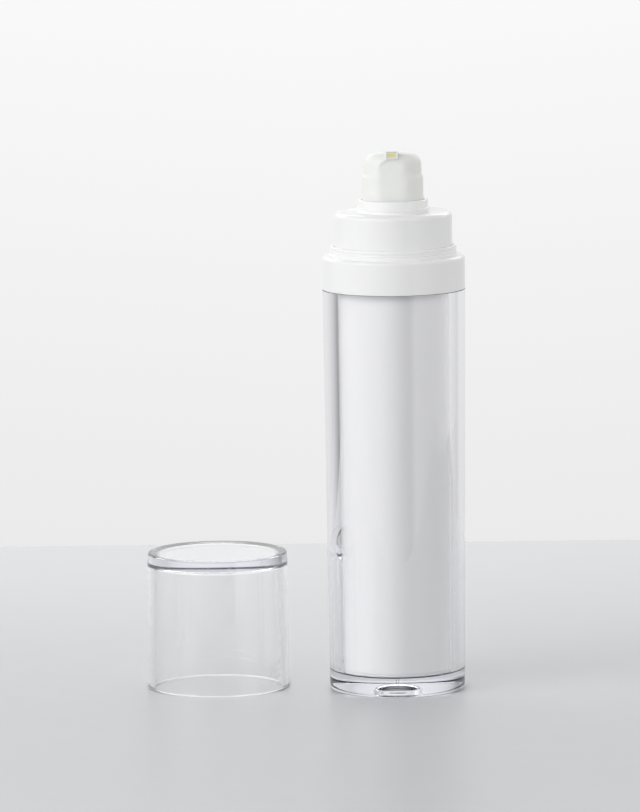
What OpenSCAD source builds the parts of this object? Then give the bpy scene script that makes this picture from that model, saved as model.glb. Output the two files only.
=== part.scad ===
// Airless pump bottle: a white inner bottle in a thick clear jacket, a pump that draws
// a follower up behind the product, and a clear cap that stands beside it.
// Millimetres. The origin is the middle of the foot, +Z is up and the nozzle faces -Y.

/* [Clear outer bottle] */
// Radius of the clear bottle where it meets the shoulder
bottle_r = 20; // [19:0.1:22]
// Radius that the clear wall loses from there down to its foot
bottle_taper = 0.94; // [0:0.02:1.2]
// Height of the clear wall up to the shoulder
bottle_h = 113; // [95:1:130]
// Thickness of the clear wall at its top
bottle_wall = 4.2; // [3.8:0.1:4.8]
// Thickness of the clear floor
floor_t = 5; // [3.5:0.1:8]
// How far the rounding of the foot comes in
foot_round = 0.6; // [0.3:0.1:1.6]
// How far that rounding reaches up the wall
foot_round_h = 2; // [0.4:0.1:3]
// Radius of the domed recess under the floor
recess_r = 4.8; // [3:0.1:7]
// Depth of that recess in its middle
recess_depth = 2; // [1:0.1:2.8]
// Radius of the air hole in the middle of the recess
vent_r = 0.3; // [0.2:0.05:1]
// Height of the thinner rim that the shoulder grips
rim_h = 4; // [3:0.1:5]

/* [White inner bottle] */
// Gap between the clear wall and the inner bottle
jacket_gap = 0.28; // [0.15:0.01:0.4]
// Radius that the inner bottle loses from its top to its foot
inner_taper = 0.52; // [0:0.02:0.7]
// Wall of the inner bottle at its foot
inner_wall = 0.85; // [0.7:0.05:1.2]
// Thickness of the roof and flange that hang the inner bottle on the rim
flange_t = 1.2; // [0.9:0.1:1.6]
// Wall of the neck
neck_wall = 1.3; // [1:0.05:1.6]
// How far the neck's snap bead stands out
bead_out = 0.4; // [0.2:0.05:0.6]
// Height of the snap bead
bead_h = 1.3; // [0.9:0.1:1.6]
// Distance from the top of the neck down to the bead
bead_drop = 1.3; // [0.9:0.1:2]

/* [Base plug and follower] */
// Thickness of the plug's disc
plug_t = 1; // [0.8:0.1:1.6]
// Height of the plug's ring, which the follower rests on
plug_ring_h = 3; // [2:0.1:5]
// Wall of the plug's ring
plug_wall = 1.2; // [0.9:0.1:1.8]
// Radius of each air hole in the plug
plug_vent_r = 0.9; // [0.5:0.1:1.4]
// Number of air holes in the plug
plug_vents = 4; // [2:1:8]
// Height of the follower
follower_h = 18; // [15:0.5:24]
// Wall of the follower
follower_wall = 1; // [0.8:0.05:1.4]
// Thickness of the follower's web
follower_web = 1.2; // [0.9:0.1:2]
// Height of each of the follower's wiping lips
lip_h = 1.6; // [1:0.1:2.4]
// Depth of the waist between the lips
waist_in = 0.5; // [0.3:0.05:0.8]

/* [Shoulder ring] */
// Height of the shoulder on the outside
shoulder_h = 9.5; // [8:0.1:12]
// Rounding of the shoulder's top edge
shoulder_round = 1; // [0.4:0.1:1.6]
// Wall of the skirt that grips the rim
skirt_wall = 1.55; // [1.2:0.05:1.8]
// Height of the band that holds the cap
band_h = 2.8; // [2.2:0.1:4]
// Wall of that band, up to half of the room that band and cap share
band_wall = 1.05; // [0.8:0.05:1.4]
// Number of fine beads round the band
band_beads = 3; // [1:1:4]
// Radius of each bead
band_bead_r = 0.22; // [0.12:0.02:0.26]

/* [Pump closure] */
// Outer radius of the closure
closure_r = 16.5; // [15.8:0.05:17]
// Height of the closure above the band
closure_h = 9.4; // [8:0.1:12]
// Rounding of the closure's top edge
closure_round = 1.3; // [0.5:0.1:1.5]
// Wall of the closure where it meets the neck
closure_wall = 2.2; // [2:0.05:2.6]
// Thickness of the closure's top
closure_top_t = 1.6; // [1.6:0.1:2.2]

/* [Guide ring] */
// Height of the ring above the closure
guide_h = 3.5; // [2.8:0.1:4.5]
// Wall of the ring
guide_wall = 1; // [0.8:0.05:1.3]
// Gap between the ring and the head that slides in it
guide_gap = 0.25; // [0.15:0.01:0.4]
// Height of the fine rib that runs round the ring
guide_rib_h = 0.5; // [0.3:0.05:0.8]
// How far the rib stands out
guide_rib_out = 0.3; // [0.1:0.05:0.5]
// Distance from the ring's top down to the rib
guide_rib_drop = 2.2; // [1.6:0.1:2.3]
// Rounding of the ring's top
guide_round = 0.4; // [0.2:0.05:0.5]

/* [Pump head] */
// Radius of the head's skirt
head_r = 8.6; // [8:0.05:9.2]
// How far the upper part of the head steps in
head_step_in = 0.5; // [0.3:0.05:0.7]
// Height of the head above the guide ring, in its middle
head_h = 13.35; // [12.5:0.05:17]
// Height of the narrower upper part
head_upper_h = 6.75; // [6.3:0.05:8]
// Radius of the rounding round the top
head_round = 3.3; // [2.4:0.1:3.8]
// How far the top domes up inside that rounding
head_dome = 0.35; // [0.1:0.05:0.6]
// Angle at which the top rises towards the nozzle
head_tilt = 5; // [0:0.5:8]
// Wall of the head
head_wall = 2.2; // [2:0.05:2.4]
// Thickness of the head's top
head_top_t = 3; // [2.7:0.1:3.4]
// How far the skirt reaches down into the guide ring at rest
skirt_in = 3; // [2:0.1:3.4]
// Half the width of the scoop under the nozzle
scoop_r = 4.05; // [3:0.05:4.6]
// Distance from the head's top down to the top of the scoop
scoop_drop = 1.7; // [1.6:0.05:3]
// Depth of the scoop at its top
scoop_depth = 1.05; // [0.6:0.05:1.2]
// Angle at which the scoop's floor runs out downwards
scoop_tilt = 4.7; // [3:0.1:8]
// Angle at which the nozzle is turned to the left of the front
nozzle_turn = 2.4; // [0:0.1:360]

/* [Nozzle] */
// Width of the nozzle's block
nozzle_w = 3.3; // [2.8:0.1:4]
// Height of the nozzle's block
nozzle_h = 2.2; // [1.8:0.1:2.3]
// Wall of the block round the outlet
nozzle_wall = 0.3; // [0.2:0.05:0.4]
// How deep the outlet insert sits in the head
insert_l = 2.8; // [2:0.1:4]
// Wall of the insert round its opening
insert_wall = 0.4; // [0.3:0.05:0.5]
// How far the insert lies behind the nozzle's face
insert_back = 0.2; // [0.1:0.05:0.4]
// Thickness of the lips that close the outlet
lips_t = 0.6; // [0.4:0.05:1]
// Height of the slit between the lips, at rest
slit_h = 0.08; // [0.04:0.02:0.2]
// Radius of the channel from the stem to the nozzle
channel_r = 0.5; // [0.3:0.05:0.6]

/* [Pump engine] */
// Travel of the head when it is pressed
stroke = 5; // [3.5:0.1:6]
// Bore of the pump chamber, as a radius
chamber_r = 4.6; // [4.2:0.05:5.2]
// Wall of the pump chamber
chamber_wall = 1; // [0.8:0.05:1.3]
// Thickness of the chamber's flange on the neck
chamber_flange_t = 1.7; // [1.2:0.1:2.2]
// Thickness of the neck gasket
gasket_t = 0.8; // [0.5:0.1:1.2]
// How far the gasket reaches in past the neck's bore
gasket_in = 0.9; // [0:0.1:1.4]
// Thickness of the flange of the cap that closes the chamber
turret_flange_t = 1.2; // [0.9:0.1:1.6]
// Height of that cap's guide tube above its flange
turret_tube_h = 2.8; // [2:0.1:3.4]
// Depth of that cap's plug in the chamber
turret_plug_h = 1; // [0.6:0.1:1.5]
// Outer radius of the stem in the head and the guide
stem_r = 3; // [2.7:0.05:3.2]
// Radius of the stem's thinner end, which carries the piston
stem_end_r = 2.3; // [2.1:0.02:2.4]
// Bore of the stem, as a radius
stem_bore_r = 1.4; // [1:0.05:1.6]
// Depth of the stem's socket in the head
socket_depth = 5.5; // [4:0.1:6]
// Wall of that socket
socket_wall = 1.1; // [0.9:0.05:1.4]
// Travel that the piston lags behind the stem, which opens the ports
piston_lag = 0.8; // [0.5:0.05:1.2]
// Height of the piston
piston_h = 4.5; // [4:0.1:6]
// Thickness of the valve head under the piston
valve_head_t = 1; // [0.8:0.1:1.4]
// Thickness of the wire of the return spring
wire_d = 0.6; // [0.5:0.02:0.7]
// Turns of the return spring
spring_turns = 6.5; // [5:0.5:8]
// Mean radius of the return spring
spring_r = 3.5; // [3.4:0.02:3.6]
// Thickness of the cage over the inlet ball
cage_t = 1.2; // [0.9:0.1:1.6]
// Radius of the inlet ball
ball_r = 1.5; // [1.3:0.05:1.7]
// Radius of the inlet hole
inlet_r = 1.1; // [0.8:0.05:1.2]
// Lift of the inlet ball
ball_lift = 0.9; // [0.5:0.05:1.4]
// Length of the inlet hole under the ball
inlet_l = 1.4; // [1:0.1:2.5]

/* [Cap] */
// Thickness of the cap's top
cap_top_t = 3.4; // [2.5:0.1:4.5]
// Wall of the cap at its top
cap_top_wall = 2.4; // [1.8:0.1:2.6]
// Room between the head and the cap's ceiling when the cap is on
cap_headroom = 5.95; // [2:0.05:12]
// Radius that the cap's side loses from its foot to the shoulder below its top
cap_taper = 0.18; // [0:0.02:0.4]
// Height of the narrower edge round the cap's top
cap_edge_h = 3.5; // [2:0.1:4.5]
// How far that edge leans in
cap_edge_in = 0.24; // [0.1:0.02:0.5]
// Rounding of the cap's edges
cap_round = 0.5; // [0.2:0.05:0.7]
// Clearance of the cap's mouth over the beads of the band
cap_clear = 0.36; // [0.2:0.02:0.6]
// Gap between the bottle and the cap that stands beside it
cap_gap = 10.45; // [4:0.05:40]
// How far the cap stands behind the bottle's middle
cap_back = 5.54; // [-20:0.02:20]

/* [Hidden] */
$fn = 96;

// Fits: a snug fit within one body, a sliding fit between moving pieces, play, and a bare gap
snug = 0.05;
slide = 0.08;
play = 0.1;
clear = 0.3;
stop_gap = 0.4;

// Small chamfers and steps that moulded edges have
fine_edge = 0.15;
small_edge = 0.3;
edge = 0.6;

// Levels, from the table up
inner_foot_z = floor_t + play;
rim_top_z = bottle_h + rim_h;
roof_top_z = rim_top_z + flange_t;
shoulder_top_z = bottle_h + shoulder_h;
band_top_z = shoulder_top_z + band_h;
closure_top_z = band_top_z + closure_h;
closure_under_z = closure_top_z - closure_top_t;
guide_top_z = closure_top_z + guide_h;
head_top_z = guide_top_z + head_h;

// Radii, from the clear wall inwards
foot_r = bottle_r - bottle_taper;
skirt_bore_r = bottle_r - skirt_wall;
rim_r = skirt_bore_r - snug;
cavity_r = bottle_r - bottle_wall;
inner_r = cavity_r - jacket_gap;
inner_foot_r = inner_r - inner_taper;
bore_r = inner_foot_r - inner_wall;
flange_r = rim_r - 2 * play;
closure_bore_r = closure_r - closure_wall;
neck_r = closure_bore_r - play;
neck_bore_r = min(neck_r - neck_wall, bore_r - stop_gap);
closure_gap = 0.07;
band_bore_r = closure_r + closure_gap;
band_room = bottle_r - band_bore_r - band_bead_r - cap_clear;
band_r = band_bore_r + min(band_wall, band_room / 2);
cap_bore_r = band_r + band_bead_r + cap_clear;
cap_mouth_wall = bottle_r - cap_bore_r;

// The pump head and the ring that guides it
head_upper_r = head_r - head_step_in;
head_bore_r = head_r - head_wall;
skirt_z = guide_top_z - skirt_in;
step_z = head_top_z - head_upper_h;
head_corner_z = head_top_z - head_dome - head_round;
nozzle_face = head_upper_r - play;
insert_back_z = nozzle_face - insert_back - insert_l;
guide_bore_r = head_r + guide_gap;
guide_r = guide_bore_r + guide_wall;
spigot_step = 0.35;
spigot_r = guide_r - spigot_step;

// The pump engine, from the neck down
chamber_flange_z = closure_under_z - chamber_flange_t;
chamber_flange_r = neck_r - 2 * play;
neck_top_z = chamber_flange_z - gasket_t;
cup_gap = 0.6;
cup_r = head_r + cup_gap;
cup_wall = 1.2;
gasket_bore_r = max(neck_bore_r - gasket_in, cup_r + cup_wall + 2 * play);
skirt_room = 0.5;
cup_floor_z = skirt_z - stroke - skirt_room - turret_flange_t;
turret_gap = 0.7;
turret_r = head_bore_r - turret_gap;
turret_top_z = cup_floor_z + turret_flange_t + turret_tube_h;
turret_plug_z = cup_floor_z - turret_plug_h;
socket_z = turret_top_z + stroke + clear;
stem_top_z = socket_z + socket_depth;
piston_top_z = turret_plug_z - piston_lag - stop_gap;
piston_z = piston_top_z - piston_h;
valve_z = piston_z - valve_head_t;
spring_solid = spring_turns * wire_d;
spring_l = spring_solid + wire_d + stroke + stop_gap;
spring_z = valve_z - spring_l;
cage_z = spring_z - cage_t;
ball_seat_h = sqrt(ball_r * ball_r - inlet_r * inlet_r) + snug;
ball_seat_z = cage_z - play - ball_lift - ball_r - ball_seat_h;
pocket_r = ball_r + clear;
inlet_z = ball_seat_z - inlet_l;
chamber_out_r = chamber_r + chamber_wall;

// The follower rises to stop_gap below the roof: its cup is as deep as the chamber hangs there
follower_z = inner_foot_z + plug_t + plug_ring_h;
follower_top_z = follower_z + follower_h;
follower_cup = rim_top_z - inlet_z;

// The cap, which in use stands on the shoulder over the band and the head
cap_h = head_top_z - shoulder_top_z + cap_headroom + cap_top_t;
cap_top_bore_r = bottle_r - cap_taper - cap_edge_in - cap_top_wall;
cap_x = -(2 * bottle_r + cap_gap);

white = [0.93, 0.93, 0.93];
warm_white = [0.93, 0.92, 0.9];
clear_acrylic = [0.86, 0.9, 0.94, 0.35];

// Points of an arc about [x, y], for the corners of an outline; h is its half height where that isn't r
function arc(x, y, r, from, to, steps = 8, h = 0) =
    let (half_h = h > 0 ? h : r)
    [for (i = [0:steps]) let (a = from + (to - from) * i / steps) [x + r * cos(a), y + half_h * sin(a)]];

// A solid turned about the bottle's axis from an outline of [radius, height]
module turned(outline) {
    rotate_extrude() polygon(outline);
}

// Turns what is drawn with its front at -Y to where the nozzle points
module nozzle_way() {
    rotate([0, 0, -nozzle_turn]) children();
}

// Tilts what is drawn about the level where the head's top starts to round off
module head_tilted() {
    nozzle_way() translate([0, 0, head_corner_z]) rotate([-head_tilt, 0, 0]) children();
}

// Puts something at the nozzle: x across it, y up it, z out of it
module at_nozzle() {
    head_tilted() translate([0, 0, head_top_z - head_corner_z - nozzle_h / 2]) rotate([90, 0, 0]) children();
}

// A row of upright things round the axis
module round_axis(count, radius) {
    for (i = [0:count - 1]) rotate([0, 0, 360 * i / count]) translate([radius, 0, 0]) children();
}

module outer_bottle() {
    rim_edge = 0.4;
    color(clear_acrylic) turned(concat(
        arc(0, 0, recess_r, acos(vent_r / recess_r), 0, 12, recess_depth),
        arc(foot_r - foot_round, foot_round_h, foot_round, -90, 0, 8, foot_round_h),
        [[bottle_r, bottle_h], [rim_r, bottle_h]],
        [[rim_r, rim_top_z - rim_edge], [rim_r - rim_edge, rim_top_z]],
        [[cavity_r, rim_top_z], [cavity_r - inner_taper, floor_t + edge]],
        [[cavity_r - inner_taper - edge, floor_t], [vent_r, floor_t]]));
}

module inner_bottle() {
    bead_top_z = neck_top_z - bead_drop;
    bead_z = bead_top_z - bead_h;
    color(white) turned([
        [inner_foot_r, inner_foot_z + plug_t], [inner_r, rim_top_z], [flange_r, rim_top_z],
        [flange_r, roof_top_z], [neck_r, roof_top_z], [neck_r, bead_z - bead_out],
        [neck_r + bead_out, bead_z], [neck_r + bead_out, bead_top_z - bead_out],
        [neck_r, bead_top_z], [neck_r, neck_top_z], [neck_bore_r, neck_top_z],
        [neck_bore_r, rim_top_z], [bore_r, rim_top_z], [bore_r, inner_foot_z + plug_t]]);
}

module base_plug() {
    ring_r = bore_r - snug;
    color(white) difference() {
        turned([[0, inner_foot_z], [inner_foot_r - edge, inner_foot_z], [inner_foot_r, inner_foot_z + edge],
            [inner_foot_r, inner_foot_z + plug_t],
            [ring_r, inner_foot_z + plug_t], [ring_r, follower_z], [ring_r - plug_wall, follower_z],
            [ring_r - plug_wall, inner_foot_z + plug_t], [0, inner_foot_z + plug_t]]);
        round_axis(plug_vents, ring_r - 2 * plug_wall - plug_vent_r)
            translate([0, 0, inner_foot_z - 1]) cylinder(r = plug_vent_r, h = plug_t + 2);
    }
}

module follower_piston() {
    lip_r = bore_r - slide;
    waist_r = lip_r - waist_in;
    cup_in_r = waist_r - follower_wall;
    web_z = follower_top_z - follower_cup;
    lip_edge = 0.4;
    color(white) turned([
        [cup_in_r, follower_z], [lip_r, follower_z], [lip_r, follower_z + lip_h],
        [waist_r, follower_z + lip_h + waist_in], [waist_r, follower_top_z - lip_h - waist_in],
        [lip_r, follower_top_z - lip_h], [lip_r, follower_top_z], [lip_r - lip_edge, follower_top_z],
        [cup_in_r, follower_top_z - lip_h - waist_in], [cup_in_r, web_z], [0, web_z],
        [0, web_z - follower_web], [cup_in_r, web_z - follower_web]]);
}

module shoulder_ring() {
    bead_pitch = band_h / (band_beads + 0.6);
    first_bead_z = shoulder_top_z + 0.6 * bead_pitch;
    top_round = min(shoulder_round, bottle_r - band_r - play);
    ledge_z = roof_top_z + snug;
    color(white) {
        turned(concat(
            [[skirt_bore_r, bottle_h + snug], [bottle_r - fine_edge, bottle_h + snug],
                [bottle_r, bottle_h + snug + fine_edge]],
            arc(bottle_r - top_round, shoulder_top_z - top_round, top_round, 0, 90),
            [[band_r, shoulder_top_z], [band_r, band_top_z - small_edge], [band_r - small_edge, band_top_z]],
            [[band_bore_r, band_top_z], [band_bore_r, ledge_z], [skirt_bore_r, ledge_z]]));
        rotate_extrude() for (i = [0:band_beads - 1])
            translate([band_r - snug, first_bead_z + bead_pitch * i]) circle(r = band_bead_r, $fn = 24);
    }
}

module pump_closure() {
    groove_r = neck_r + bead_out + snug;
    bead_top_z = neck_top_z - bead_drop;
    bead_z = bead_top_z - bead_h;
    foot_z = roof_top_z + fine_edge;
    lead_in = 0.5;
    color(white) turned(concat(
        [[closure_bore_r + lead_in, foot_z], [closure_r, foot_z]],
        arc(closure_r - closure_round, closure_top_z - closure_round, closure_round, 0, 90),
        [[spigot_r + snug, closure_top_z], [spigot_r + snug, closure_under_z]],
        [[closure_bore_r, closure_under_z], [closure_bore_r, bead_top_z + play]],
        [[groove_r, bead_top_z - 2 * play], [groove_r, bead_z - play]],
        [[closure_bore_r, bead_z - play - lead_in], [closure_bore_r, foot_z + lead_in]]));
}

module guide_ring() {
    rib_z = guide_top_z - guide_rib_drop - guide_rib_h;
    color(white) turned(concat(
        [[guide_bore_r, closure_under_z], [spigot_r, closure_under_z], [spigot_r, closure_top_z]],
        [[guide_r + play, closure_top_z], [guide_r + play, rib_z - play], [guide_r + guide_rib_out, rib_z]],
        [[guide_r + guide_rib_out, rib_z + guide_rib_h - play], [guide_r, rib_z + guide_rib_h]],
        arc(guide_r - guide_round, guide_top_z - guide_round, guide_round, 0, 90, 5),
        [[guide_bore_r + fine_edge, guide_top_z], [guide_bore_r, guide_top_z - fine_edge]]));
}

module neck_gasket() {
    color([0.82, 0.82, 0.84]) difference() {
        translate([0, 0, neck_top_z]) cylinder(r = chamber_flange_r, h = gasket_t);
        translate([0, 0, neck_top_z - 1]) cylinder(r = gasket_bore_r, h = gasket_t + 2);
    }
}

module pump_chamber() {
    cup_out_r = cup_r + cup_wall;
    shelf_z = cup_floor_z - chamber_wall;
    seat_cone_h = pocket_r - inlet_r;
    inlet_wall = 0.9;
    nozzle_out_r = pocket_r + inlet_wall;
    color(white) turned([
        [inlet_r, inlet_z], [nozzle_out_r, inlet_z], [nozzle_out_r, ball_seat_z],
        [chamber_out_r, cage_z - chamber_wall], [chamber_out_r, shelf_z], [cup_out_r, shelf_z],
        [cup_out_r, chamber_flange_z], [chamber_flange_r, chamber_flange_z],
        [chamber_flange_r, closure_under_z], [cup_r, closure_under_z], [cup_r, cup_floor_z],
        [chamber_r, cup_floor_z],
        [chamber_r, cage_z], [pocket_r, cage_z], [pocket_r, ball_seat_z + seat_cone_h],
        [inlet_r, ball_seat_z]]);
}

module chamber_cap() {
    guide_r_in = stem_r + slide;
    tube_wall = 1;
    tube_r = guide_r_in + tube_wall;
    outer_wall = 0.9;
    flange_top_z = cup_floor_z + turret_flange_t;
    color(warm_white) turned([
        [guide_r_in, turret_plug_z], [chamber_r - snug, turret_plug_z], [chamber_r - snug, cup_floor_z],
        [cup_r - snug, cup_floor_z], [cup_r - snug, flange_top_z], [turret_r, flange_top_z],
        [turret_r, turret_top_z - edge], [turret_r - outer_wall, turret_top_z - edge],
        [turret_r - outer_wall, flange_top_z],
        [tube_r, flange_top_z], [tube_r, turret_top_z], [guide_r_in + small_edge, turret_top_z],
        [guide_r_in, turret_top_z - small_edge]]);
}

module ball_cage() {
    boss_r = spring_r - wire_d / 2 - clear;
    boss_h = 0.7;
    slot_r = 0.5;
    color(warm_white) difference() {
        turned([[0, cage_z], [chamber_r - snug, cage_z], [chamber_r - snug, spring_z],
            [boss_r, spring_z], [boss_r - small_edge, spring_z + boss_h], [0, spring_z + boss_h]]);
        round_axis(6, pocket_r - slot_r / 2)
            translate([0, 0, cage_z - 1]) cylinder(r = slot_r, h = cage_t + boss_h + 2);
    }
}

module inlet_ball() {
    color([0.75, 0.77, 0.8]) translate([0, 0, ball_seat_z + ball_seat_h]) sphere(r = ball_r);
}

// One tube along a helix: rings of points, each square to the axis's plane, then its two ends
module return_spring() {
    sides = 6;
    rings = ceil(spring_turns * 16);
    end_gap = 0.02;
    low_z = spring_z + wire_d / 2 + end_gap;
    rise = spring_l - wire_d - 2 * end_gap;
    points = [for (i = [0:rings], k = [0:sides - 1])
        let (turn = 360 * spring_turns * i / rings, a = 360 * k / sides)
        let (reach = spring_r + wire_d / 2 * cos(a))
        [reach * cos(turn), reach * sin(turn), low_z + rise * i / rings + wire_d / 2 * sin(a)]];
    last = rings * sides;
    sleeve = [for (i = [0:rings - 1], k = [0:sides - 1], half = [0, 1])
        let (a = i * sides + k, b = i * sides + (k + 1) % sides)
        half == 0 ? [a, a + sides, b] : [b, a + sides, b + sides]];
    ends = [for (k = [1:sides - 2], end = [0, 1])
        end == 0 ? [0, k, k + 1] : [last, last + k + 1, last + k]];
    color([0.72, 0.73, 0.75]) polyhedron(points, concat(sleeve, ends));
}

module pump_stem() {
    shoulder_z = piston_top_z + piston_lag;
    port_z = piston_z + 0.45 * piston_h;
    port_r = 0.55;
    color(white) difference() {
        turned([[stem_bore_r, piston_z], [stem_end_r, piston_z], [stem_end_r, shoulder_z],
            [stem_r, shoulder_z], [stem_r, stem_top_z - small_edge], [stem_r - small_edge, stem_top_z],
            [stem_bore_r, stem_top_z]]);
        for (turn = [0, 90]) rotate([0, 0, turn]) translate([0, 0, port_z])
            rotate([90, 0, 0]) cylinder(r = port_r, h = 4 * stem_r, center = true);
    }
}

module stem_valve() {
    disc_gap = 0.7;
    disc_r = chamber_r - disc_gap;
    disc_edge = 0.4;
    lip_seat_w = 0.9;
    lip_seat_r = stem_end_r + lip_seat_w;
    spring_room = 0.5;
    rod_r = spring_r - wire_d / 2 - spring_room;
    rod_l = 1.6;
    rod_z = valve_z - rod_l;
    press_gap = 0.02;
    pin_r = stem_bore_r - press_gap;
    pin_h = 1;
    color(warm_white) turned([
        [0, rod_z], [rod_r - small_edge, rod_z], [rod_r, rod_z + small_edge], [rod_r, valve_z],
        [disc_r, valve_z], [disc_r, piston_z - disc_edge], [lip_seat_r, piston_z],
        [pin_r, piston_z], [pin_r, piston_z + pin_h], [0, piston_z + pin_h]]);
}

module stem_piston() {
    sleeve_r = stem_end_r + slide;
    sleeve_wall = 0.6;
    sleeve_out_r = sleeve_r + sleeve_wall;
    seat_gap = 0.02;
    sleeve_z = piston_z + seat_gap;
    lip_r = chamber_r - snug;
    lip_z = piston_z + 2 * play;
    lip_t = 0.4;
    lip_l = 0.9;
    waist_r = lip_r - 2 * play;
    waist_wall = 0.5;
    waist_end = 1.3;
    web_end = 1.6;
    web_r = waist_r - waist_wall;
    color(warm_white) turned([
        [sleeve_r, sleeve_z], [sleeve_out_r, sleeve_z], [sleeve_out_r, piston_z + web_end],
        [web_r, piston_z + web_end], [lip_r - lip_t, lip_z], [lip_r, lip_z],
        [lip_r, piston_z + lip_l], [waist_r, piston_z + waist_end], [waist_r, piston_top_z - waist_end],
        [lip_r, piston_top_z - lip_l], [lip_r, piston_top_z], [lip_r - lip_t, piston_top_z],
        [web_r, piston_top_z - web_end], [sleeve_out_r, piston_top_z - web_end],
        [sleeve_out_r, piston_top_z], [sleeve_r, piston_top_z]]);
}

// The nozzle's block, an upright rectangle with small round corners
module nozzle_outline(inset, round_r) {
    half_w = nozzle_w / 2 - inset;
    half_h = nozzle_h / 2 - inset;
    polygon(concat(
        arc(half_w - round_r, half_h - round_r, round_r, 0, 90, 4),
        arc(round_r - half_w, half_h - round_r, round_r, 90, 180, 4),
        arc(round_r - half_w, round_r - half_h, round_r, 180, 270, 4),
        arc(half_w - round_r, round_r - half_h, round_r, 270, 360, 4)));
}

module scoop() {
    top_z = head_top_z - scoop_drop;
    nozzle_way() translate([0, scoop_depth - head_upper_r, top_z]) rotate([90 - scoop_tilt, 0, 0])
        linear_extrude(head_r) {
            translate([0, -scoop_r]) circle(r = scoop_r);
            translate([-scoop_r, -2 * head_h]) square([2 * scoop_r, 2 * head_h - scoop_r]);
        }
}

// The head's outside: a stepped wall under a dome that leans back
module head_form() {
    draft = 0.03;
    rim_r = head_upper_r - snug;
    corner_r = rim_r - head_round;
    over = 2;
    dome = [for (i = [1:5]) [corner_r * (1 - i / 5), head_round + head_dome * (1 - pow(1 - i / 5, 2))]];
    intersection() {
        turned([[0, skirt_z], [head_r - 2 * play, skirt_z], [head_r, skirt_z + 2 * play],
            [head_r - draft, step_z - play], [head_upper_r, step_z + small_edge],
            [rim_r, head_corner_z + 1], [rim_r, head_top_z + over], [0, head_top_z + over]]);
        head_tilted() turned(concat(
            [[0, -2 * head_h], [head_r + over, -2 * head_h], [head_r + over, -head_round / 2]],
            arc(corner_r, 0, head_round, 0, 90, 10), dome));
    }
}

module actuator() {
    socket_r = stem_r + snug;
    ceiling_z = head_top_z - head_top_t;
    block_round = 0.4;
    color(warm_white) difference() {
        union() {
            head_form();
            at_nozzle() linear_extrude(nozzle_face) nozzle_outline(0, block_round);
        }
        difference() {
            turned([[0, skirt_z - 1], [head_bore_r, skirt_z - 1], [head_bore_r, ceiling_z - edge],
                [head_bore_r - edge, ceiling_z], [0, ceiling_z]]);
            translate([0, 0, socket_z]) cylinder(r = socket_r + socket_wall, h = head_h);
        }
        translate([0, 0, socket_z - 1]) cylinder(r = socket_r, h = stem_top_z - socket_z + 1);
        cylinder(r = stem_bore_r, h = head_top_z - nozzle_h / 2);
        scoop();
        at_nozzle() {
            cylinder(r = channel_r, h = head_r);
            translate([0, 0, insert_back_z]) linear_extrude(head_r) nozzle_outline(nozzle_wall, fine_edge);
        }
    }
}

module outlet_insert() {
    press_gap = 0.02;
    duct_round = 0.1;
    lips_z = insert_l - lips_t;
    duct_w = nozzle_w - 2 * (nozzle_wall + insert_wall);
    color([0.93, 0.88, 0.66]) at_nozzle() translate([0, 0, insert_back_z]) difference() {
        linear_extrude(insert_l) nozzle_outline(nozzle_wall + press_gap, fine_edge);
        translate([0, 0, -1]) linear_extrude(lips_z + 1)
            nozzle_outline(nozzle_wall + insert_wall, duct_round);
        translate([0, 0, lips_z - 0.1]) linear_extrude(lips_t + 1) square([duct_w, slit_h], center = true);
    }
}

module cap() {
    edge_z = cap_h - cap_edge_h;
    ceiling_z = cap_h - cap_top_t;
    edge_r = bottle_r - cap_taper;
    top_r = edge_r - cap_edge_in;
    corner = 0.8;
    lead_in = min(small_edge, cap_mouth_wall / 4);
    mouth_round = min(cap_round, cap_mouth_wall / 2);
    color(clear_acrylic) translate([cap_x, cap_back, 0]) turned(concat(
        [[cap_bore_r + lead_in, 0]],
        arc(bottle_r - mouth_round, mouth_round, mouth_round, -90, 0, 6),
        [[edge_r, edge_z]],
        arc(top_r - cap_round, cap_h - cap_round, cap_round, 0, 90, 6),
        [[0, cap_h], [0, ceiling_z]],
        arc(cap_top_bore_r - corner, ceiling_z - corner, corner, 90, 0, 5),
        [[cap_bore_r, lead_in]]));
}

outer_bottle();
inner_bottle();
base_plug();
follower_piston();
shoulder_ring();
pump_closure();
guide_ring();
neck_gasket();
pump_chamber();
chamber_cap();
ball_cage();
inlet_ball();
return_spring();
pump_stem();
stem_valve();
stem_piston();
actuator();
outlet_insert();
cap();
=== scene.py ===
# Airless pump bottle with its clear cap beside it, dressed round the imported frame.
# The frame is in metres; this file's own sizes are millimetres until they meet the mesh.
import math

import bmesh
import bpy
from mathutils import Matrix, Vector


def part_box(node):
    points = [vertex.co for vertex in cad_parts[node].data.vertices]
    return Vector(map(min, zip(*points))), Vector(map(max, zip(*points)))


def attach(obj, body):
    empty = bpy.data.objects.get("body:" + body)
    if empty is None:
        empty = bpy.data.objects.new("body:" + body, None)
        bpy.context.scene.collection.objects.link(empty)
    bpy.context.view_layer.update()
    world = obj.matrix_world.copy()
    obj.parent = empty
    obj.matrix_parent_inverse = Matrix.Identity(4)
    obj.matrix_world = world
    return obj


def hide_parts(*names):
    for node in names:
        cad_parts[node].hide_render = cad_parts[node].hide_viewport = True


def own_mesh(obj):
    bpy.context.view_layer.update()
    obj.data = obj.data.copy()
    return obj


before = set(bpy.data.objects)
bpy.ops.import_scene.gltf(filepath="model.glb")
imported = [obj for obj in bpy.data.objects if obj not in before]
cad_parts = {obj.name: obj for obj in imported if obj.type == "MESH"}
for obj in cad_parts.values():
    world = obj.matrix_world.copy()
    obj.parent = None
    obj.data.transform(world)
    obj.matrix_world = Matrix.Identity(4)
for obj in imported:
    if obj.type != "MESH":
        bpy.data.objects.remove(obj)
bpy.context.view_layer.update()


# Camera: a long lens from the front, a little above the bottle, as the product was photographed.
# Its place and tilt come from the outlines of bottle and cap.
MM = 0.001
CAMERA_AT = Vector((-21.0, -1797.8, 317.7)) * MM
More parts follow.
